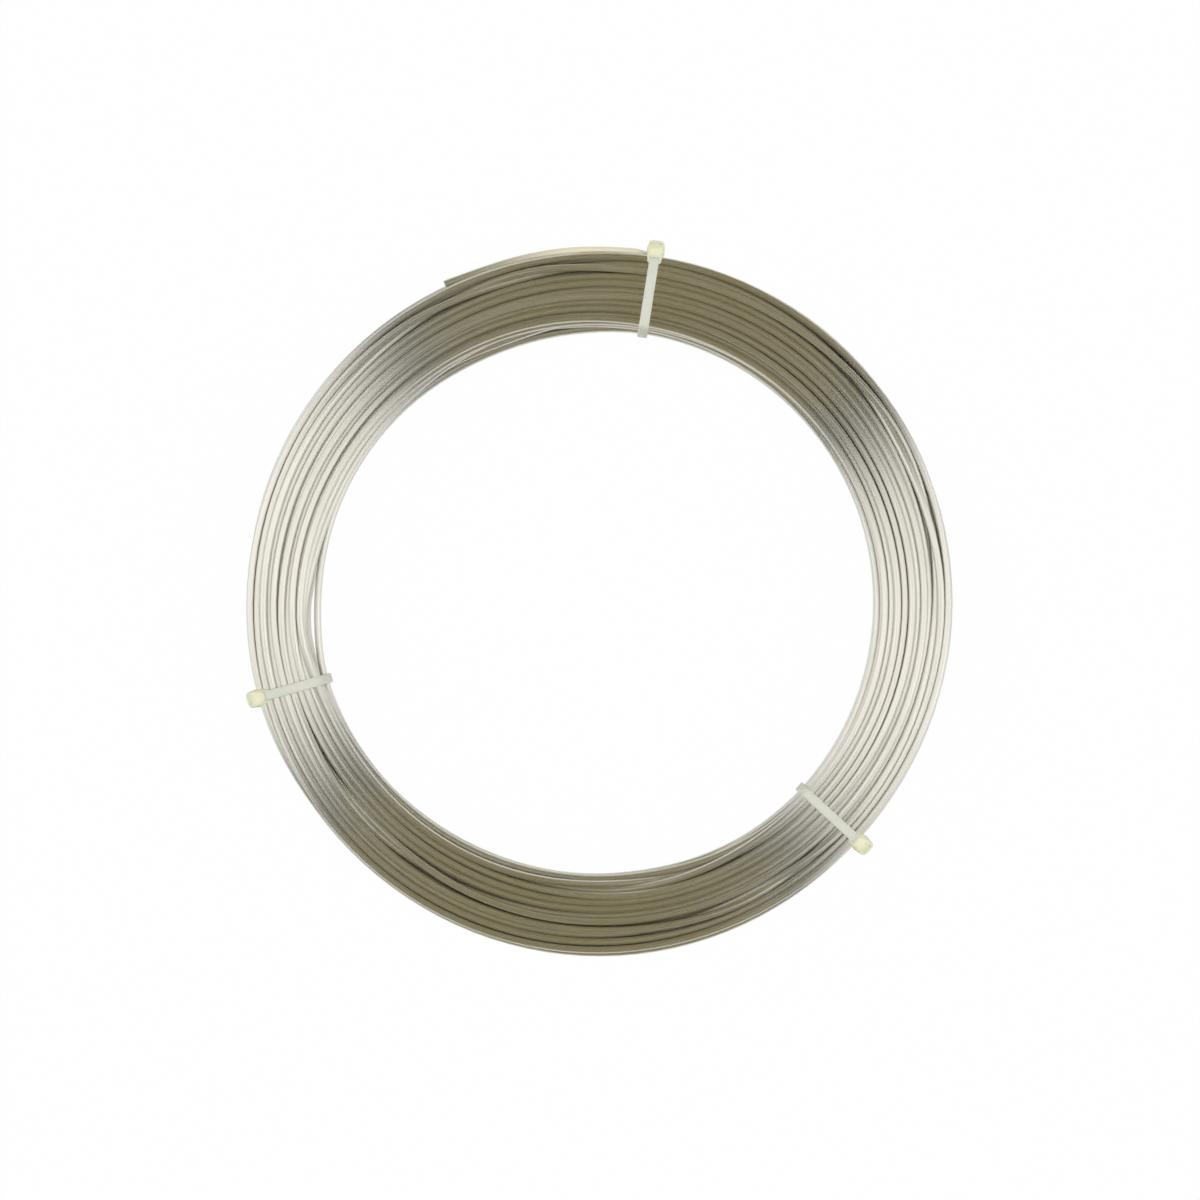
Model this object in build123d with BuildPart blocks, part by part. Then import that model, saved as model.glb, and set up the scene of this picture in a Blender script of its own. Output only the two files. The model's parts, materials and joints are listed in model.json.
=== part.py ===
from build123d import *
import os
from math import atan2, cos, degrees, pi, radians, sin

# Wire and winding, in millimetres
wire_diameter = 1.8
turn_gap = 0.08
bore_diameter = 138.0

# Turns in each layer of the winding, from the bottom end to the top end
turns_in_layers = (6, 9, 10, 11, 10, 9, 6)

# Layers whose outermost turns the straps bear on
strap_layers = (0, 1, 3, 5, 6)

# Each layer's turns nest in the grooves of the layer below
nesting_angle = 60.0

# Corners on the crest of a turn, and on the round of the free end, as shares of its sweep
crest_corner_shares = (0.5,)
tail_corner_shares = (0.2, 0.4, 0.6, 0.8)

# Free outer end of the wire, which lies on the rim beside the top tie
tail_length = 52.0
tail_clearance = 0.3

# Cable ties: places round the ring in degrees from +X, and the strap
tie_angles = {"top": 81.0, "left": 195.6, "right": 317.3}
strap_width = 2.5
strap_thickness = 1.1
strap_clearance = 0.2

# Head of a tie, which sits on the winding's upper outer corner, leaning outwards
head_lean_angle = 45.0
head_shift = 0.85
head_rise = 0.4
head_length = 5.0
head_height = 3.3
head_side_wall = 0.95
head_corner_chamfer = 0.8
head_edge_chamfer = 0.35
head_draft_angle = 8.0

# Slot through the head, with the trimmed end of the strap and the pawl that grips it
slot_side_gap = 0.25
slot_pawl_gap = 0.8
pawl_recess = 0.6
stub_height = 0.8

# Sizes that follow from the ones above
wire_radius = wire_diameter / 2
turn_spacing = wire_diameter + turn_gap
layer_spacing = turn_spacing * sin(radians(nesting_angle))
top_layer = len(turns_in_layers) - 1
tail_layer = turns_in_layers.index(max(turns_in_layers)) + 1
head_layer = strap_layers[-2]
widest_place = (max(turns_in_layers) - 1) / 2
mid_radius = bore_diameter / 2 + wire_radius + widest_place * turn_spacing
coil_bottom = strap_thickness + strap_clearance
bearing_offset = wire_radius + strap_clearance
slot_width = strap_width + 2 * slot_side_gap
slot_length = strap_thickness + slot_pawl_gap
head_width = slot_width + 2 * head_side_wall


def end_place(layer):
    """Place of a layer's outermost turn, counted in turns from the middle of the layer."""
    return (turns_in_layers[layer] - 1) / 2


def turn_centre(layer, place):
    """Radius and height of the centre of one turn's wire."""
    radius = mid_radius + place * turn_spacing
    height = coil_bottom + wire_radius + layer * layer_spacing
    return Vector(radius, height)


def first_showing(layer, neighbour):
    """Place of the first turn of a layer that its neighbouring layer leaves in view."""
    return min(end_place(layer), end_place(neighbour) + 1 / 2)


def rim_places(layer):
    """Places of a layer's turns that show on the rim, from the upper ones to the lower ones."""
    end = end_place(layer)
    upper = first_showing(layer, layer + 1)
    lower = first_showing(layer, layer - 1)
    outward = [upper + step for step in range(round(end - upper) + 1)]
    inward = [end - 1 - step for step in range(round(end - lower))]
    return outward + inward


def showing_turns():
    """Layer and place of each turn in view, clockwise from the top end's innermost turn."""
    first = -end_place(top_layer)
    turns = [(top_layer, first + step) for step in range(turns_in_layers[top_layer])]
    for layer in range(top_layer - 1, 0, -1):
        turns += [(layer, place) for place in rim_places(layer)]
    opposite = [(top_layer - layer, -place) for layer, place in turns]
    return turns + opposite


def crest(before, centre, after, corner_shares):
    """Corners of one turn's crest, clockwise, from the groove before it to its last corner."""
    to_before = before - centre
    to_after = after - centre
    start = atan2(to_before.Y, to_before.X)
    sweep = (start - atan2(to_after.Y, to_after.X)) % (2 * pi)
    corners = [(before + centre) / 2]
    for share in corner_shares:
        angle = start - sweep * share
        corners.append(centre + Vector(cos(angle), sin(angle)) * wire_radius)
    return corners


def winding_outline():
    """Corners of the whole section of the winding."""
    centres = [turn_centre(layer, place) for layer, place in showing_turns()]
    corners = []
    for index, centre in enumerate(centres):
        after = centres[(index + 1) % len(centres)]
        corners += crest(centres[index - 1], centre, after, crest_corner_shares)
    return corners


def tail_outline():
    """Corners of the free end's section, which rises from the two turns that it lies on."""
    above = turn_centre(tail_layer, end_place(tail_layer))
    below = turn_centre(tail_layer - 1, end_place(tail_layer - 1))
    centre = turn_centre(tail_layer, end_place(tail_layer) + 1)
    corners = crest(above, centre, below, tail_corner_shares)
    return [above] + corners + [(below + centre) / 2, below]


def section_plane(angle):
    """Plane through the coil's axis at an angle, with radius along its X and height along its Y."""
    bearing = radians(angle)
    across = (sin(bearing), -cos(bearing), 0)
    return Plane(origin=(0, 0, 0), x_dir=(cos(bearing), sin(bearing), 0), z_dir=across)


def head_plane(angle):
    """Plane of a tie head's base, with X down the strap and Z out of the head."""
    plane = section_plane(angle)
    lean = radians(head_lean_angle)
    outward = plane.x_dir * cos(lean) + plane.y_dir * sin(lean)
    downward = plane.x_dir * sin(lean) - plane.y_dir * cos(lean)
    turn = plane.from_local_coords(turn_centre(head_layer, end_place(head_layer)))
    origin = turn + outward * (bearing_offset + head_rise) + downward * head_shift
    return Plane(origin=origin, x_dir=downward, z_dir=outward)


# Wire coil
tail_radius = turn_centre(tail_layer, end_place(tail_layer) + 1).X
tail_start = tie_angles["top"] + degrees(atan2(head_width / 2 + tail_clearance, tail_radius))

with BuildPart() as wire_coil:
    with BuildSketch(section_plane(0)):
        with BuildLine():
            Polyline(*winding_outline(), close=True)
        make_face()
    revolve(axis=Axis.Z)
    with BuildSketch(section_plane(tail_start)):
        with BuildLine():
            Polyline(*tail_outline(), close=True)
        make_face()
    revolve(axis=Axis.Z, revolution_arc=degrees(tail_length / tail_radius))
wire_coil.part.label = "wire_coil"


def make_cable_tie(angle):
    """One moulded tie: head on the winding's shoulder, strap round it, strap end through the slot."""
    base = head_plane(angle)
    out_of_head = Axis(base.origin, base.z_dir)
    outer_ends = [turn_centre(layer, end_place(layer)) for layer in strap_layers]
    inner_ends = [turn_centre(layer, -end_place(layer)) for layer in reversed(strap_layers)]
    pawl_root = -slot_length / 2
    grip_face = pawl_root + slot_pawl_gap
    pawl_tip = head_height - pawl_recess
    with BuildPart() as tie:
        with BuildSketch(base) as foot:
            Rectangle(head_length, head_width)
            chamfer(foot.vertices(), head_corner_chamfer)
        extrude(amount=head_height)
        draft(tie.faces().sort_by(out_of_head)[1:-1], base, head_draft_angle)
        chamfer(tie.faces().sort_by(out_of_head)[-1].edges(), head_edge_chamfer)

        with BuildSketch(section_plane(angle)):
            Polygon(*outer_ends, *inner_ends)
            offset(amount=bearing_offset + strap_thickness)
            offset(amount=-strap_thickness, mode=Mode.SUBTRACT)
        extrude(amount=strap_width / 2, both=True)

        with BuildSketch(base.offset(strap_thickness)):
            Rectangle(slot_length, slot_width)
        extrude(amount=head_height, mode=Mode.SUBTRACT)

        with BuildSketch(base.offset(strap_thickness)):
            with Locations((slot_pawl_gap / 2, 0)):
                Rectangle(strap_thickness, strap_width)
        extrude(amount=head_height - strap_thickness + stub_height)

        with BuildSketch(Plane(origin=base.origin, x_dir=base.x_dir, z_dir=-base.y_dir)):
            Polygon((pawl_root, strap_thickness), (grip_face, strap_thickness), (grip_face, pawl_tip))
        extrude(amount=strap_width / 2, both=True)
    return tie.part


cable_ties = {}
for place, angle in tie_angles.items():
    cable_ties[place] = make_cable_tie(angle)
    cable_ties[place].label = f"cable_tie_{place}"

os.makedirs("parts", exist_ok=True)
export_step(wire_coil.part, "parts/wire_coil.step")
for tie in cable_ties.values():
    export_step(tie, f"parts/{tie.label}.step")
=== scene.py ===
import json
import math

import bmesh
import bpy
import numpy as np
from mathutils import Matrix, Vector


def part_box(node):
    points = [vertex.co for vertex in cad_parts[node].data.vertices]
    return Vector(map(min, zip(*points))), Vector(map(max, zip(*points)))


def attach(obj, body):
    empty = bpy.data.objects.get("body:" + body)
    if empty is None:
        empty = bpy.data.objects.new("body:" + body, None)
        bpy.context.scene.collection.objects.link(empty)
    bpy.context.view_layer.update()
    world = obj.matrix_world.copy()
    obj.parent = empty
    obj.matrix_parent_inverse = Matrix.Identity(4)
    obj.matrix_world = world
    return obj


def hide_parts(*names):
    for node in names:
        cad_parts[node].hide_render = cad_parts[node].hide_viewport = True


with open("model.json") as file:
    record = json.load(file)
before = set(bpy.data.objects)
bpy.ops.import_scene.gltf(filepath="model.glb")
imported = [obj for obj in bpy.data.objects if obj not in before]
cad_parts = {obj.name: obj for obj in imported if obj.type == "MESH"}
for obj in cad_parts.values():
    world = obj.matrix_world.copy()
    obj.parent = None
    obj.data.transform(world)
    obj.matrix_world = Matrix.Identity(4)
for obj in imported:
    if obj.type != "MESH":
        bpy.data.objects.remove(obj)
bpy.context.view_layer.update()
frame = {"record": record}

# Wire and winding, in metres: the turns and the places for them, which crowd in the top layer,
# and how many places apart two turns count as side by side
wire_diameter = 0.0018
turn_count = 61
places_in_layers = (8, 9, 10, 11, 10, 9, 11)
crowding_share = 0.84
crowding_lift = 0.3
nesting_angle = math.radians(60)
stations_per_turn = 120
section_resolution = 4
neighbour_limit = 1.3

# Shape of the ring: mean bore and rim radius, and the waves that pull them out of round,
# each as the cosine and sine part of one, two and three lobes
bore_radius = 0.06895
bore_waves = ((-0.00052, -0.00026), (0.00087, 0.00026), (-0.0002, -0.0003))
rim_radius = 0.0893
rim_waves = ((0.00006, -0.00015), (0.00001, 0.00008), (0.0001, 0.00046))

# The bore side's upper layers lean over the lower ones, towards the top of the picture
section_lean = 0.0006

# The rim swells beside the top tie, where the free end leaves it
swell_bearing = math.radians(88)
swell_reach = math.radians(12)
swell_height = 0.0007

# Free play of the turns: how far they wander sideways and in height, and how fast
wander_sideways = 0.0018
wander_height = 0.0008
wander_waves = 9
slowest_wave = 0.3
fastest_wave = 3.6
wander_seed = 9

# Slow drift of each turn to its next place, last turns first, as angles from the top tie
drift_sweep = math.radians(240)
drift_first = math.radians(12)
drift_lag = math.radians(1.3)
drift_scatter = math.radians(8)

# How the turns settle against each other: rounds, pull to the aim, closing up and bends in each stage
settling_stages = ((140, 0.03, 0.10, 3), (50, 0.0, 0.0, 1))
touching_share = 0.985
push_share = 0.45
bend_share = 0.5
last_smoothing_rounds = 4
free_smoothing_rounds = 2
top_slack = 0.0011
tie_reach = math.radians(14)
tie_squeeze = 0.0007
shoulder_share = 0.15

# The innermost turn stands off the others at the left, beside the left tie
standoff_bearing = math.radians(184.7)
standoff_reach = math.radians(14)
standoff_width = 0.0019
standoff_hold = 6

# Free end of the wire, which leaves the rim under the top tie, lies along it and springs off at its cut,
# with painted pale light on it that fades out before the cut
tail_sweep = math.radians(35)
tail_step = math.radians(1)
tail_bend_from = math.radians(-1)
tail_bend_to = math.radians(3)
tail_radius_start = 0.0895
tail_radius_least = 0.08895
tail_least_share = 0.79
tail_ease = 1.3
tail_spring = 0.0005
tail_layer = 3.8
tail_rise = math.radians(20)
painted_light_tail_share = 1.4
seat_layer = 2.3
seat_place = 5.4

# Cable ties: the strap, which is pulled tight round the wires
strap_width = 0.0025
strap_thickness = 0.00085
strap_gap = 0.00006
strap_edge = 0.00022
strap_bend_step = math.radians(12)

# Head of a tie, which leans out on the winding's upper outer corner, with a nose over the strap
head_lean = math.radians(45)
head_length = 0.0050
head_width = 0.0049
head_height = 0.0032
head_top_length_share = 0.88
head_top_width_share = 0.80
head_nose = 0.0014
head_nose_width_share = 0.72
head_layer = 5
head_shift = 0.00085
head_rise = 0.0004
head_shoulder = 0.0011
head_corner = 0.0012
head_edge = 0.0006
chamfer_segments = 2
round_segments = 4
sharp_angle = math.radians(50)

# Slot in the top of the head, where the trimmed end of the strap stands
slot_length = 0.0017
slot_width = 0.0027
slot_depth = 0.00015

# Grain of the surfaces: the range of noise that it shows, its fine and broad scales, its scale along
# the wire, and how deep it stands
grain_low = 0.3
grain_high = 0.7
wire_grain_scales = (5.0, 1.6)
wire_grain_along = 12.0
wire_grain_depth = 0.000004
nylon_grain_scales = (9000.0, 900.0)
nylon_grain_depth = 0.000005

# Slow tones along the wire, and how far light goes into the nylon
wire_tone_middle = 0.5
wire_tone_spread = 0.25
nylon_light_reach = 0.0008

# Camera: how wide its view is at one height, and how far it stands up the picture from the axis
view_width = 0.303
view_height = 0.0085
view_lift = 0.00063
camera_distance = 0.45
sensor_width = 0.036

# Floor and backdrop, and how white they are to the camera and in the metal
floor_radius = 6.0
floor_segments = 96
backdrop_height = 1.3
floor_colour = (0.85, 0.85, 0.85, 1)
floor_white_share = 0.98
floor_shine_share = 0.4

# Studio: two bright panels that face each other, dark strips beside them and warm walls between,
# by the squared cosine of the bearing from the panels' middle
panel_bearing = math.radians(-8.5)
room_strength = 1.14
wall_stops = (
    (0.0, (0.185, 0.162, 0.074, 1)),
    (0.42, (0.2, 0.176, 0.09, 1)),
    (0.45, (0.08, 0.085, 0.095, 1)),
    (0.54, (0.16, 0.165, 0.17, 1)),
    (0.74, (0.86, 0.855, 0.83, 1)),
    (1.0, (1.04, 1.03, 1.0, 1)),
)

# Soft lamp above, which lights the matt surfaces and stays out of reflections
lamp_height = 1.2
lamp_size = 1.0
lamp_power = 6.0

# Sizes that follow from the frame
coil_low, coil_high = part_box("wire_coil")
wire_radius = wire_diameter / 2
layer_spacing = (coil_high.z - coil_low.z - wire_diameter) / (len(places_in_layers) - 1)
turn_spacing = layer_spacing / math.sin(nesting_angle)
end_places = [(count - 1) / 2 for count in places_in_layers]
lowest_centre = coil_low.z + wire_radius
middle_radius = coil_high.x - wire_radius - max(end_places) * turn_spacing
highest_centre = coil_high.z - wire_radius
tie_bearings = {
    mount["name"].removeprefix("rest_"): math.atan2(mount["pos_m"][1], mount["pos_m"][0])
    for mount in frame["record"]["mounts"]
    if mount["name"].startswith("rest_")
}
start_bearing = tie_bearings["top"]
station_angle = 2 * math.pi / stations_per_turn


def smooth_step(share):
    """Eases from 0 to 1 as the share goes from 0 to 1."""
    share = np.clip(share, 0, 1)
    return share * share * (3 - 2 * share)


def edge_radius(mean, waves, bearing):
    """Radius of the ring's bore or rim at a bearing."""
    radius = mean + 0 * bearing
    for lobes, (cosine, sine) in enumerate(waves, start=1):
        radius = radius + cosine * np.cos(lobes * bearing) + sine * np.sin(lobes * bearing)
    return radius


def nearness(bearing, centre, reach):
    """Falls smoothly from 1 at a bearing to 0 at its reach on either side."""
    apart = (bearing - centre + math.pi) % (2 * math.pi) - math.pi
    return smooth_step(1 - np.abs(apart) / reach)


def winding_order():
    """Layer and place of every turn, wound shell by shell from the section's middle to its outside."""
    middle = len(places_in_layers) // 2
    order = []
    for shell in range(middle, -1, -1):
        ends = [end - shell for end in end_places]
        bottom = shell
        top = len(places_in_layers) - 1 - shell
        row_below = [(bottom, ends[bottom] - step) for step in range(round(2 * ends[bottom]) + 1)]
        row_above = [(top, step - ends[top]) for step in range(round(2 * ends[top]) + 1)]
        if shell == 0:
            row_above = [
                (layer + crowding_lift * (-1) ** step, place * crowding_share)
                for step, (layer, place) in enumerate(row_above)
            ]
        if bottom == top:
            order += row_above
            continue
        order += [(layer, ends[layer]) for layer in range(middle - 1, bottom, -1)]
        order += row_below
        order += [(layer, -ends[layer]) for layer in range(bottom + 1, top)]
        order += row_above
        order += [(layer, ends[layer]) for layer in range(top - 1, middle - 1, -1)]
    return order[-turn_count:]


def nominal_route(chance):
    """Layer and place of the wire at every station, drifting to the next place in each turn."""
    order = winding_order() + [(seat_layer, seat_place)]
    angle = np.arange(stations_per_turn) * station_angle
    scatter = chance.uniform(0, drift_scatter, len(order))
    layers = []
    places = []
    for turn, (layer, place) in enumerate(order[:-1]):
        next_layer, next_place = order[turn + 1]
        start = drift_first + (len(order) - turn) * drift_lag + scatter[turn]
        drift = smooth_step((angle - start) / drift_sweep)
        layers.append(layer + (next_layer - layer) * drift)
        places.append(place + (next_place - place) * drift)
    return np.array(layers), np.array(places)


def wander(path_turns, chance):
    """Smooth random drift along the whole wire, about 1 at its largest."""
    drift = np.zeros_like(path_turns)
    for rate in np.geomspace(slowest_wave, fastest_wave, wander_waves):
        size = chance.normal(0, 1)
        drift += size * np.sin(2 * math.pi * rate * path_turns + chance.uniform(0, 2 * math.pi))
    return drift / math.sqrt(wander_waves)


def tail_course(share):
    """Radius of the free end's centre, from the top tie at 0 to the cut at 1."""
    inward = np.clip(1 - share / tail_least_share, 0, 1) ** tail_ease
    spring = np.clip((share - tail_least_share) / (1 - tail_least_share), 0, 1) ** 2
    return tail_radius_least + (tail_radius_start - tail_radius_least) * inward + tail_spring * spring


def push_apart(radius, height):
    """Moves that take the wires of each section half-way out of each other."""
    across = radius[:, None, :] - radius[None, :, :]
    upward = height[:, None, :] - height[None, :, :]
    distance = np.sqrt(across ** 2 + upward ** 2)
    overlap = np.clip(wire_diameter * touching_share - distance, 0, None)
    turns = np.arange(len(radius))
    overlap[turns, turns] = 0
    scale = overlap / np.maximum(distance, wire_radius / 100)
    return (across * scale).sum(1) * push_share, (upward * scale).sum(1) * push_share


def close_up(radius, height, beside, share):
    """Moves that draw each turn and the next one together, where they belong side by side."""
    across = np.diff(radius, axis=0)
    upward = np.diff(height, axis=0)
    distance = np.maximum(np.sqrt(across ** 2 + upward ** 2), wire_radius)
    scale = np.clip(distance - wire_diameter, 0, None) / distance * beside * share
    sideways = np.zeros_like(radius)
    raised = np.zeros_like(height)
    for total, step in ((sideways, across * scale), (raised, upward * scale)):
        total[:-1] += step
        total[1:] -= step
    return sideways, raised


def bend_smooth(values, share):
    """Straightens the course of the whole wire a little, from one turn into the next."""
    course = values.reshape(-1).copy()
    middle = (course[:-2] + course[2:]) / 2
    course[1:-1] += (middle - course[1:-1]) * share
    return course.reshape(values.shape)


def settle_wire():
    """Radius and height of the wire at every station of every turn, with turns lying on each other."""
    chance = np.random.default_rng(wander_seed)
    layers, places = nominal_route(chance)
    bearing = start_bearing + np.arange(stations_per_turn) * station_angle
    bore = edge_radius(bore_radius, bore_waves, bearing)
    rim = edge_radius(rim_radius, rim_waves, bearing)
    rim = rim + swell_height * nearness(bearing, swell_bearing, swell_reach)
    path_turns = np.arange(layers.size) / stations_per_turn
    loose = np.ones_like(bearing)
    for tie in tie_bearings.values():
        loose = np.minimum(loose, 1 - nearness(bearing, tie, tie_reach))
    bore = bore + tie_squeeze * (1 - loose)
    beside_tail = nearness(bearing, start_bearing + tail_sweep / 2, tail_sweep)
    under_head = (places > 0) * np.clip(layers - head_layer, 0, 1) * np.maximum(1 - loose, beside_tail)
    places = places * (1 - shoulder_share * under_head)
    rim = np.minimum(rim, coil_high.x)
    stretch = (rim - bore - wire_diameter) / (2 * max(end_places))
    drift_sideways = wander(path_turns, chance).reshape(layers.shape) * wander_sideways * loose
    drift_height = wander(path_turns, chance).reshape(layers.shape) * wander_height * loose
    lean = section_lean * np.sin(bearing) * (layers * 2 / (len(places_in_layers) - 1) - 1)
    lean = lean * np.clip(-places / max(end_places), 0, 1)
    aim_radius = (bore + rim) / 2 + places * stretch + lean + drift_sideways
    aim_height = lowest_centre + layers * layer_spacing + drift_height

    standoff = nearness(bearing, standoff_bearing, standoff_reach)
    innermost = places[:, standoff.argmax()].argmin()
    inner_limit = np.tile(bore + wire_radius, (len(places), 1))
    outer_limit = np.tile(rim - wire_radius, (len(places), 1))
    held = np.clip(standoff * standoff_hold, 0, 1)
    outer_limit[innermost] += (inner_limit[innermost] - outer_limit[innermost]) * held
    others = np.arange(len(places)) != innermost
    inner_limit[others] += (wire_diameter + standoff_width) * standoff
    upper_limit = highest_centre + top_slack * loose

    apart = np.hypot(np.diff(places, axis=0), np.diff(layers, axis=0) * math.sin(nesting_angle))
    beside = apart < neighbour_limit
    radius = aim_radius.copy()
    height = aim_height.copy()
    for rounds, pull, closing, bends in settling_stages:
        for _ in range(rounds):
            radius += (aim_radius - radius) * pull
            height += (aim_height - height) * pull
            for _ in range(bends):
                radius = bend_smooth(radius, bend_share)
                height = bend_smooth(height, bend_share)
            moves = (close_up(radius, height, beside, closing), push_apart(radius, height))
            for sideways, upward in moves:
                radius = np.clip(radius + sideways, inner_limit, outer_limit)
                height = np.clip(height + upward, lowest_centre, upper_limit)
    for _ in range(last_smoothing_rounds):
        radius = np.clip(bend_smooth(radius, bend_share), inner_limit, outer_limit)
        height = bend_smooth(height, bend_share)
    for _ in range(free_smoothing_rounds):
        radius = bend_smooth(radius, bend_share)
        height = bend_smooth(height, bend_share)
    return radius, height


def wire_course():
    """Bearing, radius and height along the whole wire, from its inner end to its cut outer end."""
    radius, height = settle_wire()
    end_bearing = start_bearing + len(radius) * 2 * math.pi
    bearing = start_bearing + np.arange(radius.size) * station_angle
    wound = bearing < end_bearing + tail_bend_from
    tail_bearing = np.arange(bearing[wound][-1] + tail_step, end_bearing + tail_sweep, tail_step)
    rim_course = np.interp(tail_bearing, bearing, radius.reshape(-1))
    rim_height = np.interp(tail_bearing, bearing, height.reshape(-1))
    past_tie = tail_bearing - end_bearing
    bent = smooth_step((past_tie - tail_bend_from) / (tail_bend_to - tail_bend_from))
    tail_height = lowest_centre + tail_layer * layer_spacing
    tail_radius = rim_course + (tail_course(past_tie / tail_sweep) - rim_course) * bent
    tail_height = rim_height + (tail_height - rim_height) * smooth_step(past_tie / tail_rise)
    radius = np.concatenate([radius.reshape(-1)[wound], tail_radius])
    height = np.concatenate([height.reshape(-1)[wound], tail_height])
    return np.concatenate([bearing[wound], tail_bearing]), radius, height


def join_scene(name, mesh):
    """Adds a mesh to the scene as an object at the origin."""
    piece = bpy.data.objects.new(name, mesh)
    bpy.context.scene.collection.objects.link(piece)
    return piece


def make_wire(course):
    """The whole coil as one bent wire, with its length and girth as UV, slow tones along it, and painted
    pale light on its free end.
    """
    bearing, radius, height = course
    points = np.stack([radius * np.cos(bearing), radius * np.sin(bearing), height], axis=1)
    curve = bpy.data.curves.new("wire_course", "CURVE")
    curve.dimensions = "3D"
    curve.bevel_depth = wire_radius
    curve.bevel_resolution = section_resolution
    curve.use_fill_caps = True
    spline = curve.splines.new("POLY")
    spline.points.add(len(points) - 1)
    spline.points.foreach_set("co", np.column_stack([points, np.ones(len(points))]).ravel())
    spline.use_smooth = True
    guide = join_scene("wire_course", curve)
    bpy.context.view_layer.update()
    mesh = bpy.data.meshes.new_from_object(guide.evaluated_get(bpy.context.evaluated_depsgraph_get()))
    bpy.data.objects.remove(guide)
    bpy.data.curves.remove(curve)
    mesh.name = "coiled_wire"

    # The mesh starts with a ring for each cap, the outer end's first, then has one for each station
    steps = np.linalg.norm(np.diff(points, axis=0), axis=1)
    length = np.concatenate([[0], np.cumsum(steps)])
    sides = 4 + 2 * section_resolution
    cap_rings = 2
    vertex_station = np.clip(np.arange(len(mesh.vertices)) // sides - cap_rings, 0, None)
    vertex_station[:sides] = len(points) - 1
    corner = np.zeros(len(mesh.loops), dtype=np.int32)
    mesh.loops.foreach_get("vertex_index", corner)
    station = vertex_station[corner]
    side = corner % sides
    totals = np.zeros(len(mesh.polygons), dtype=np.int32)
    mesh.polygons.foreach_get("loop_total", totals)
    face_of_loop = np.repeat(np.arange(len(totals)), totals)
    crosses_seam = np.zeros(len(totals), dtype=bool)
    crosses_seam[face_of_loop[side == sides - 1]] = True
    side = np.where(crosses_seam[face_of_loop] & (side == 0), sides, side)
    layer = mesh.uv_layers.new(name="wire_uv")
    chart = np.column_stack([length[station], side / sides])
    layer.data.foreach_set("uv", chart.ravel().astype(np.float32))

    chance = np.random.default_rng(wander_seed + 1)
    drift = wander(np.arange(len(points)) / stations_per_turn, chance)
    # Painted pale light on the free end: it comes in past the top tie and fades out before the cut
    to_cut = bearing[-1] - bearing
    past_tie = smooth_step((tail_sweep - to_cut) / tail_bend_to)
    before_cut = smooth_step(to_cut / tail_sweep * painted_light_tail_share)
    tones_and_painted_light = {
        "wire_tone": wire_tone_middle + wire_tone_spread * drift,
        "free_end_painted_light": past_tie * before_cut,
    }
    for name, tone in tones_and_painted_light.items():
        attribute = mesh.attributes.new(name, "FLOAT", "POINT")
        attribute.data.foreach_set("value", tone[vertex_station].astype(np.float32))
    return join_scene("coiled_wire", mesh)


def section_at(course, bearing):
    """Radius and height of every wire that crosses one bearing."""
    full, radius, height = course
    turn = (full - bearing) / (2 * math.pi)
    crossings = np.arange(math.ceil(turn[0]), math.floor(turn[-1]) + 1)
    return [
        Vector((np.interp(crossing, turn, radius), np.interp(crossing, turn, height)))
        for crossing in crossings
    ]


def outer_ring(centres):
    """The outermost of a section's wires, in order round it, counter-clockwise."""
    ordered = sorted(centres, key=lambda centre: (centre.x, centre.y))
    chains = []
    for run in (ordered, ordered[::-1]):
        chain = []
        for centre in run:
            while len(chain) > 1 and (chain[-1] - chain[-2]).cross(centre - chain[-1]) <= 0:
                chain.pop()
            chain.append(centre)
        chains.append(chain[:-1])
    return chains[0] + chains[1]


def pick(items, kind):
    """Those of an operator's results that are of one kind, in their order."""
    return [item for item in items if isinstance(item, kind)]


def strap_section(mesh, start, outward):
    """Closed loop of the strap's section, with its edges rounded, standing out from a wire's centre."""
    inner = wire_radius + strap_gap
    outer = inner + strap_thickness
    half = strap_width / 2
    loop = [
        (inner, -half + strap_edge), (inner + strap_edge, -half), (outer - strap_edge, -half),
        (outer, -half + strap_edge), (outer, half - strap_edge), (outer - strap_edge, half),
        (inner + strap_edge, half), (inner, half - strap_edge),
    ]
    corners = []
    for out, across in loop:
        corners.append(mesh.verts.new((start.x + outward.x * out, across, start.y + outward.y * out)))
    edges = []
    for index, corner in enumerate(corners):
        edges.append(mesh.edges.new((corner, corners[(index + 1) % len(corners)])))
    return edges


def add_strap(mesh, centres):
    """The strap, pulled tight round the outermost wires, in the plane of radius and height."""
    ring = outer_ring(centres)
    runs = [after - centre for centre, after in zip(ring, ring[1:] + ring[:1])]
    last = runs[-1].normalized()
    edges = strap_section(mesh, ring[0], Vector((last.y, -last.x)))
    for index, centre in enumerate(ring):
        run = runs[index]
        turn = math.atan2(runs[index - 1].cross(run), runs[index - 1].dot(run))
        corners = list(dict.fromkeys(corner for edge in edges for corner in edge.verts))
        result = bmesh.ops.spin(
            mesh, geom=corners + edges, cent=(centre.x, 0, centre.y), axis=(0, -1, 0), dvec=(0, 0, 0),
            angle=turn, steps=max(2, round(turn / strap_bend_step)),
            use_merge=False, use_normal_flip=False, use_duplicate=False,
        )
        edges = pick(result["geom_last"], bmesh.types.BMEdge)
        result = bmesh.ops.extrude_edge_only(mesh, edges=edges)
        moved = pick(result["geom"], bmesh.types.BMVert)
        edges = pick(result["geom"], bmesh.types.BMEdge)
        edges = [edge for edge in edges if all(corner in moved for corner in edge.verts)]
        bmesh.ops.translate(mesh, verts=moved, vec=(run.x, 0, run.y))
    bmesh.ops.remove_doubles(mesh, verts=mesh.verts[:], dist=strap_edge / 4)


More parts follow.
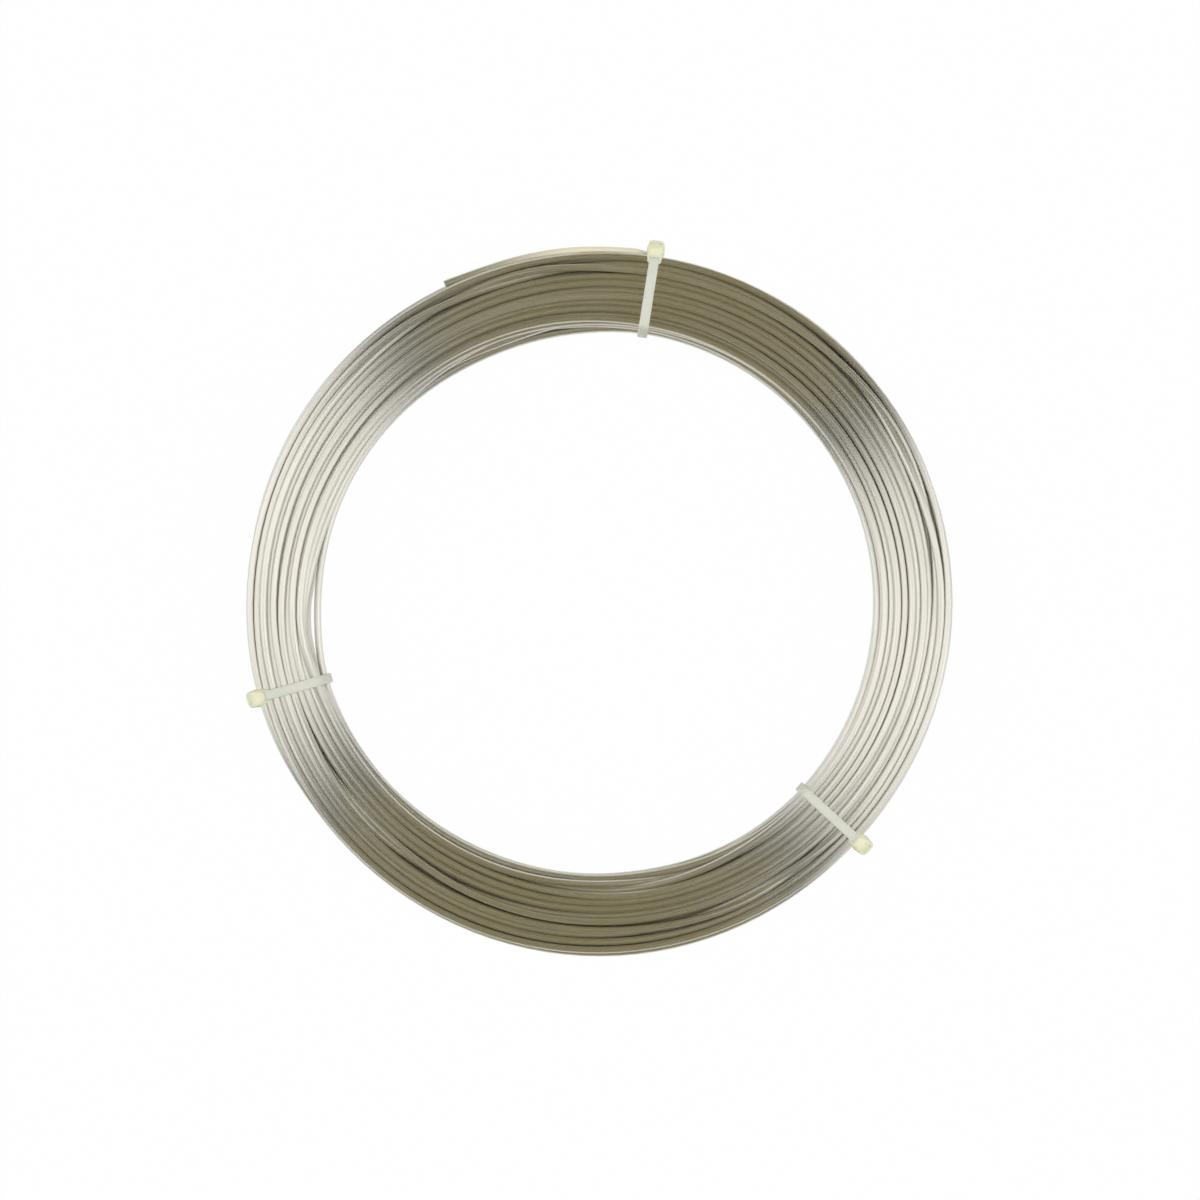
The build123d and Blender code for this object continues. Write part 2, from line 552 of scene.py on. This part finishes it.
def add_head(mesh, place):
    """The head: a tapered block with a nose over the strap, a slot and the trimmed strap end in it."""
    block = bmesh.new()
    bmesh.ops.create_cube(block, size=1)
    bmesh.ops.translate(block, verts=block.verts[:], vec=(0, 0, 0.5))
    bmesh.ops.scale(block, verts=block.verts[:], vec=(head_length, head_width, head_height))
    top = [corner for corner in block.verts if corner.co.z > head_height / 2]
    bmesh.ops.scale(block, verts=top, vec=(head_top_length_share, head_top_width_share, 1))
    nose = [corner for corner in block.verts if corner.co.x < 0 and corner not in top]
    bmesh.ops.translate(block, verts=nose, vec=(-head_nose, 0, 0))
    bmesh.ops.scale(block, verts=nose, vec=(1, head_nose_width_share, 1))
    for side, offset, segments in (
        (-1, head_shoulder, chamfer_segments),
        (1, head_corner, round_segments),
    ):
        uprights = [
            edge for edge in block.edges
            if abs(edge.verts[0].co.z - edge.verts[1].co.z) > head_height / 2
            and all(corner.co.x * side > head_length / 3 for corner in edge.verts)
        ]
        bmesh.ops.bevel(
            block, geom=uprights, offset=offset, affect="EDGES",
            segments=segments, profile=0.5, material=-1,
        )
    top_face = max(block.faces, key=lambda face: face.calc_center_median().z)
    bmesh.ops.bevel(
        block, geom=list(top_face.edges), offset=head_edge, affect="EDGES",
        segments=round_segments, profile=0.5, material=-1,
    )
    top_face = max(
        block.faces, key=lambda face: (round(face.calc_center_median().z, 6), face.calc_area()),
    )
    bmesh.ops.inset_region(block, faces=[top_face], thickness=head_edge / 2, use_even_offset=True)
    for corner in top_face.verts:
        reach = max(abs(corner.co.x) / slot_length, abs(corner.co.y) / slot_width) * 2
        corner.co.x /= reach
        corner.co.y /= reach
    floor = bmesh.ops.extrude_discrete_faces(block, faces=[top_face])["faces"][0]
    bmesh.ops.translate(block, verts=list(floor.verts), vec=(0, 0, -slot_depth))

    stub = bmesh.ops.create_cube(block, size=1)["verts"]
    bmesh.ops.scale(block, verts=stub, vec=(strap_thickness, strap_width, head_height))
    shift = (slot_length - strap_thickness) / 2
    bmesh.ops.translate(block, verts=stub, vec=(shift, 0, head_height / 2))
    edges = list(dict.fromkeys(edge for corner in stub for edge in corner.link_edges))
    bmesh.ops.bevel(
        block, geom=edges, offset=strap_edge / 2, affect="EDGES",
        segments=chamfer_segments, profile=0.5, material=-1,
    )

    bmesh.ops.transform(block, matrix=place, verts=block.verts[:])
    thick = block.verts.layers.float.new("thick")
    for corner in block.verts:
        corner[thick] = 1
    shape = bpy.data.meshes.new("head")
    block.to_mesh(shape)
    block.free()
    mesh.from_mesh(shape)
    bpy.data.meshes.remove(shape)


def make_tie(name, bearing, course):
    """One cable tie, pulled tight round the wires that cross its bearing."""
    mesh = bmesh.new()
    add_strap(mesh, section_at(course, bearing))
    mesh.verts.layers.float.new("thick")
    lean_out = Vector((math.cos(head_lean), math.sin(head_lean)))
    lean_down = Vector((math.sin(head_lean), -math.cos(head_lean)))
    seat_radius = middle_radius + end_places[head_layer] * turn_spacing
    seat = Vector((seat_radius, lowest_centre + head_layer * layer_spacing))
    base = seat + lean_out * (wire_radius + head_rise) + lean_down * head_shift
    place = Matrix((
        (lean_down.x, 0, lean_out.x, base.x),
        (0, 1, 0, 0),
        (lean_down.y, 0, lean_out.y, base.y),
        (0, 0, 0, 1),
    ))
    add_head(mesh, place)
    bmesh.ops.rotate(mesh, verts=mesh.verts[:], cent=(0, 0, 0), matrix=Matrix.Rotation(bearing, 3, "Z"))
    bmesh.ops.recalc_face_normals(mesh, faces=mesh.faces[:])
    for face in mesh.faces:
        face.smooth = True
    shape = bpy.data.meshes.new(name)
    mesh.to_mesh(shape)
    mesh.free()
    shape.set_sharp_from_angle(angle=sharp_angle)
    return join_scene(name, shape)


def add_node(tree, kind, **settings):
    """Adds a node and sets its named settings."""
    node = tree.nodes.new(kind)
    for key, value in settings.items():
        setattr(node, key, value)
    return node


def feed(tree, inlet, value):
    """Sets a node's input to a plain value, or links another node's output to it."""
    if isinstance(value, bpy.types.NodeSocket):
        tree.links.new(value, inlet)
    else:
        inlet.default_value = value


def add_math(tree, operation, *values):
    """A value worked out from one or two others."""
    node = add_node(tree, "ShaderNodeMath", operation=operation)
    for inlet, value in zip(node.inputs, values):
        feed(tree, inlet, value)
    return node.outputs[0]


def mix_colours(tree, first, second, mask):
    """A colour that goes from the first to the second as the mask goes from 0 to 1."""
    blend = add_node(tree, "ShaderNodeMix", data_type="RGBA")
    inlets = {socket.identifier: socket for socket in blend.inputs}
    outlets = {socket.identifier: socket for socket in blend.outputs}
    feed(tree, inlets["A_Color"], first)
    feed(tree, inlets["B_Color"], second)
    feed(tree, inlets["Factor_Float"], mask)
    return outlets["Result_Color"]


def map_value(tree, value, low, high):
    """A value that goes from low to high as another one goes from 0 to 1."""
    spread = add_node(tree, "ShaderNodeMapRange")
    tree.links.new(value, spread.inputs["Value"])
    spread.inputs["To Min"].default_value = low
    spread.inputs["To Max"].default_value = high
    return spread.outputs["Result"]


def grain_group():
    """Fine and broad grain from one place on the surface, both between 0 and 1."""
    group = bpy.data.node_groups.new("surface_grain", "ShaderNodeTree")
    group.interface.new_socket("Place", in_out="INPUT", socket_type="NodeSocketVector")
    group.interface.new_socket("Fine Scale", in_out="INPUT", socket_type="NodeSocketFloat")
    group.interface.new_socket("Broad Scale", in_out="INPUT", socket_type="NodeSocketFloat")
    group.interface.new_socket("Fine", in_out="OUTPUT", socket_type="NodeSocketFloat")
    group.interface.new_socket("Broad", in_out="OUTPUT", socket_type="NodeSocketFloat")
    inlet = add_node(group, "NodeGroupInput")
    outlet = add_node(group, "NodeGroupOutput")
    for name, detail in (("Fine", 4.0), ("Broad", 2.0)):
        noise = add_node(group, "ShaderNodeTexNoise")
        noise.inputs["Detail"].default_value = detail
        stretch = add_node(group, "ShaderNodeMapRange", interpolation_type="SMOOTHSTEP")
        stretch.inputs["From Min"].default_value = grain_low
        stretch.inputs["From Max"].default_value = grain_high
        group.links.new(inlet.outputs["Place"], noise.inputs["Vector"])
        group.links.new(inlet.outputs[f"{name} Scale"], noise.inputs["Scale"])
        group.links.new(noise.outputs["Fac"], stretch.inputs["Value"])
        group.links.new(stretch.outputs["Result"], outlet.inputs[name])
    return group


def add_grain(tree, group, place, scales):
    """Places the grain in a material, at its fine and its broad scale."""
    grain = add_node(tree, "ShaderNodeGroup", node_tree=group)
    tree.links.new(place, grain.inputs["Place"])
    grain.inputs["Fine Scale"].default_value, grain.inputs["Broad Scale"].default_value = scales
    return grain.outputs["Fine"], grain.outputs["Broad"]


def add_bump(tree, height, depth):
    """Raises the surface by a height between 0 and 1, to a depth in metres."""
    bump = add_node(tree, "ShaderNodeBump")
    bump.inputs["Distance"].default_value = depth
    tree.links.new(height, bump.inputs["Height"])
    return bump.outputs["Normal"]


def place_on_wire(tree):
    """Place on the wire's surface: round its girth in X and Y, and along it in Z."""
    chart = add_node(tree, "ShaderNodeUVMap", uv_map="wire_uv")
    parts = add_node(tree, "ShaderNodeSeparateXYZ")
    tree.links.new(chart.outputs["UV"], parts.inputs["Vector"])
    turn = add_math(tree, "MULTIPLY", parts.outputs["Y"], 2 * math.pi)
    along = add_math(tree, "MULTIPLY", parts.outputs["X"], wire_grain_along)
    place = add_node(tree, "ShaderNodeCombineXYZ")
    tree.links.new(add_math(tree, "COSINE", turn), place.inputs["X"])
    tree.links.new(add_math(tree, "SINE", turn), place.inputs["Y"])
    tree.links.new(along, place.inputs["Z"])
    return place.outputs["Vector"]


def drawn_wire_finish(grain):
    """Bright drawn wire: fine die lines, a shine spread across them, slow changes of tone, and painted
    pale light on the free end.
    """
    material = bpy.data.materials.new("drawn_wire")
    material.use_nodes = True
    tree = material.node_tree
    shader = tree.nodes["Principled BSDF"]
    shader.inputs["Anisotropic"].default_value = 0.95
    shader.inputs["Anisotropic Rotation"].default_value = 0.25
    fine, broad = add_grain(tree, grain, place_on_wire(tree), wire_grain_scales)
    tone = add_node(tree, "ShaderNodeAttribute", attribute_name="wire_tone").outputs["Fac"]
    free_end_painted_light = add_node(tree, "ShaderNodeAttribute", attribute_name="free_end_painted_light").outputs["Fac"]
    warm, pale = (0.82, 0.8, 0.725, 1), (0.95, 0.945, 0.92, 1)
    # cream is painted pale light on the free end, not a colour of the wire
    dull, cream = (0.75, 0.725, 0.66, 1), (0.96, 0.91, 0.73, 1)
    bright = mix_colours(tree, warm, pale, tone)
    drawn = mix_colours(tree, bright, dull, map_value(tree, broad, 0.0, 0.6))
    colour = mix_colours(tree, drawn, cream, free_end_painted_light)
    tree.links.new(colour, shader.inputs["Base Color"])
    # The free end loses its metal along with its painted pale light, so it shows matt and bright
    tree.links.new(map_value(tree, free_end_painted_light, 1.0, 0.1), shader.inputs["Metallic"])
    tree.links.new(map_value(tree, fine, 0.25, 0.35), shader.inputs["Roughness"])
    tree.links.new(add_bump(tree, fine, wire_grain_depth), shader.inputs["Normal"])
    return material


def nylon_finish(grain):
    """Natural nylon: pale, a little translucent, yellower where it is thick, with a soft sheen."""
    material = bpy.data.materials.new("natural_nylon")
    material.use_nodes = True
    tree = material.node_tree
    shader = tree.nodes["Principled BSDF"]
    shader.inputs["Subsurface Weight"].default_value = 0.3
    shader.inputs["Subsurface Radius"].default_value = (1.0, 0.95, 0.75)
    shader.inputs["Subsurface Scale"].default_value = nylon_light_reach
    place = add_node(tree, "ShaderNodeTexCoord").outputs["Object"]
    fine, broad = add_grain(tree, grain, place, nylon_grain_scales)
    thick = add_node(tree, "ShaderNodeAttribute", attribute_name="thick").outputs["Fac"]
    cool, pale = (0.75, 0.768, 0.707, 1), (0.787, 0.805, 0.75, 1)
    cream = (0.96, 0.95, 0.71, 1)
    plain = mix_colours(tree, cool, pale, broad)
    colour = mix_colours(tree, plain, cream, thick)
    tree.links.new(colour, shader.inputs["Base Color"])
    tree.links.new(map_value(tree, fine, 0.45, 0.58), shader.inputs["Roughness"])
    tree.links.new(add_bump(tree, fine, nylon_grain_depth), shader.inputs["Normal"])
    return material


def lay_floor():
    """Plain floor with a low backdrop, white to the camera, dimmer in the metal, with a faint shadow."""
    mesh = bmesh.new()
    bmesh.ops.create_circle(mesh, cap_ends=True, segments=floor_segments, radius=floor_radius)
    raised = bmesh.ops.extrude_edge_only(mesh, edges=mesh.edges[:])["geom"]
    bmesh.ops.translate(mesh, verts=pick(raised, bmesh.types.BMVert), vec=(0, 0, backdrop_height))
    shape = bpy.data.meshes.new("floor")
    mesh.to_mesh(shape)
    mesh.free()
    floor = join_scene("floor", shape)
    material = bpy.data.materials.new("pale_floor")
    material.use_nodes = True
    tree = material.node_tree
    tree.nodes.clear()
    output = add_node(tree, "ShaderNodeOutputMaterial")
    diffuse = add_node(tree, "ShaderNodeBsdfDiffuse")
    diffuse.inputs["Color"].default_value = floor_colour
    glow = add_node(tree, "ShaderNodeEmission")
    path = add_node(tree, "ShaderNodeLightPath")
    in_metal = add_math(tree, "MULTIPLY", path.outputs["Is Glossy Ray"], floor_shine_share)
    seen_through = add_math(tree, "MULTIPLY", path.outputs["Is Transmission Ray"], floor_white_share)
    to_camera = add_math(tree, "MULTIPLY", path.outputs["Is Camera Ray"], floor_white_share)
    indirect = add_math(tree, "MAXIMUM", in_metal, seen_through)
    blend = add_node(tree, "ShaderNodeMixShader")
    tree.links.new(add_math(tree, "MAXIMUM", indirect, to_camera), blend.inputs["Fac"])
    tree.links.new(diffuse.outputs[0], blend.inputs[1])
    tree.links.new(glow.outputs[0], blend.inputs[2])
    tree.links.new(blend.outputs[0], output.inputs["Surface"])
    floor.data.materials.append(material)


def light_room():
    """Soft light from two broad panels at the left and right, in a dimmer warm room."""
    world = bpy.data.worlds.new("studio")
    bpy.context.scene.world = world
    world.use_nodes = True
    tree = world.node_tree
    tree.nodes.clear()
    output = add_node(tree, "ShaderNodeOutputWorld")
    sky = add_node(tree, "ShaderNodeBackground")
    direction = add_node(tree, "ShaderNodeTexCoord")
    turned = add_node(tree, "ShaderNodeMapping")
    turned.inputs["Rotation"].default_value = (0, 0, -panel_bearing)
    level = add_node(tree, "ShaderNodeVectorMath", operation="MULTIPLY")
    level.inputs[1].default_value = (1, 1, 0)
    heading = add_node(tree, "ShaderNodeVectorMath", operation="NORMALIZE")
    parts = add_node(tree, "ShaderNodeSeparateXYZ")
    towards_panel = add_math(tree, "MULTIPLY", parts.outputs["X"], parts.outputs["X"])
    walls = add_node(tree, "ShaderNodeValToRGB")
    ramp = walls.color_ramp
    ramp.elements[0].position, ramp.elements[0].color = wall_stops[0]
    ramp.elements[1].position, ramp.elements[1].color = wall_stops[-1]
    for position, colour in wall_stops[1:-1]:
        ramp.elements.new(position).color = colour
    tree.links.new(direction.outputs["Generated"], turned.inputs["Vector"])
    tree.links.new(turned.outputs["Vector"], level.inputs[0])
    tree.links.new(level.outputs["Vector"], heading.inputs[0])
    tree.links.new(heading.outputs["Vector"], parts.inputs["Vector"])
    tree.links.new(towards_panel, walls.inputs["Fac"])
    tree.links.new(walls.outputs["Color"], sky.inputs["Color"])
    sky.inputs["Strength"].default_value = room_strength
    tree.links.new(sky.outputs[0], output.inputs["Surface"])


def hang_lamp():
    """Broad soft lamp over the object."""
    data = bpy.data.lights.new("soft_lamp", "AREA")
    data.shape = "DISK"
    data.size = lamp_size
    data.energy = lamp_power
    lamp = bpy.data.objects.new("soft_lamp", data)
    lamp.location = (0, 0, lamp_height)
    lamp.visible_glossy = False
    lamp.visible_camera = False
    bpy.context.scene.collection.objects.link(lamp)


def aim_camera():
    """Camera straight above the coil, with +Y to the top of the picture."""
    data = bpy.data.cameras.new("camera")
    sensor_millimetres = sensor_width * 1000
    data.sensor_width = sensor_millimetres
    data.lens = sensor_millimetres * camera_distance / view_width
    camera = bpy.data.objects.new("camera", data)
    camera.location = (0, view_lift, view_height + camera_distance)
    bpy.context.scene.collection.objects.link(camera)
    bpy.context.scene.camera = camera


grain = grain_group()
course = wire_course()
wire = make_wire(course)
wire.data.materials.append(drawn_wire_finish(grain))
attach(wire, "root")
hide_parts("wire_coil")

nylon = nylon_finish(grain)
for name, bearing in tie_bearings.items():
    tie = make_tie(f"tie_{name}", bearing, course)
    tie.data.materials.append(nylon)
    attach(tie, "root")
    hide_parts(f"cable_tie_{name}")

lay_floor()
light_room()
hang_lamp()
aim_camera()
bpy.context.scene.view_settings.view_transform = "Standard"
